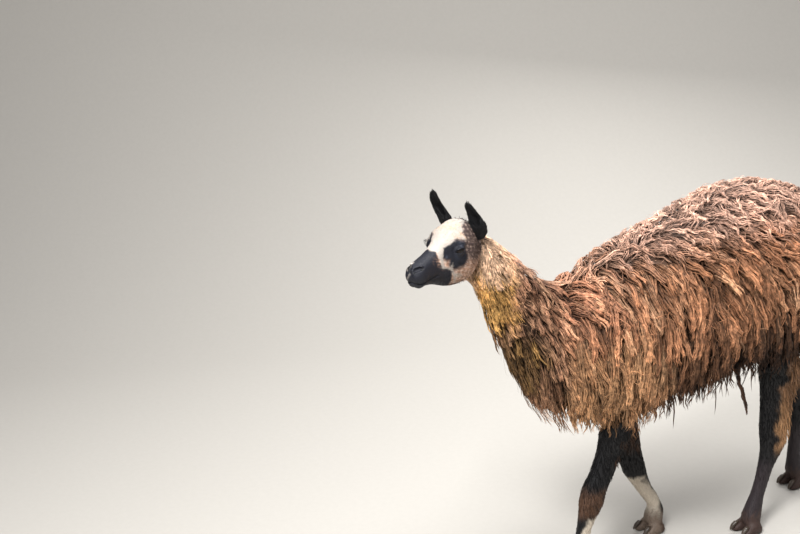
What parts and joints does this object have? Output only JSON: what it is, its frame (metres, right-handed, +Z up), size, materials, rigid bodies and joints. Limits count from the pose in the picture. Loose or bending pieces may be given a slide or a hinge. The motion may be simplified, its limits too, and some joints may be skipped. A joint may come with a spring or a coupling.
{
  "type": "llama",
  "caption": "Life-size standing llama in mid stride, with a long shaggy rust-brown coat, a black and white face and dark legs with pale shanks.",
  "frame": {"origin": "centre of the footprint of the whole model, on the floor", "axes": "+Z up; the llama faces -Y, with its head turned to its left; its left side is +X"},
  "size_m": [0.5654, 1.8568, 1.4621],
  "materials": {
    "wool": "long matted rust-brown wool in hanging locks, bleached at the tips, greyer on the back",
    "neck_wool": "shaggy wool, ochre on the throat, red-brown behind",
    "face_hair": "short flat hair, black muzzle and eye patches round a white blaze, grey-brown cheeks",
    "ear_hair": "short black hair",
    "leg_hair": "short dark hair with woolly patches, white shanks in front",
    "eye": "dark wet gloss",
    "nail": "dark horn"
  },
  "bodies": {
    "root": {"trunk": "wool", "neck": "neck_wool", "head": "face_hair", "ear_left": "ear_hair", "ear_right": "ear_hair", "eye_left": "eye", "eye_right": "eye", "tail": "wool", "flank_lock": "wool", "foreleg_left": "leg_hair", "foreleg_right": "leg_hair", "hindleg_left": "leg_hair", "hindleg_right": "leg_hair", "forenail_left_inner": "nail", "forenail_left_outer": "nail", "forenail_right_inner": "nail", "forenail_right_outer": "nail", "hindnail_left_inner": "nail", "hindnail_left_outer": "nail", "hindnail_right_inner": "nail", "hindnail_right_outer": "nail"}
  },
  "joints": []
}
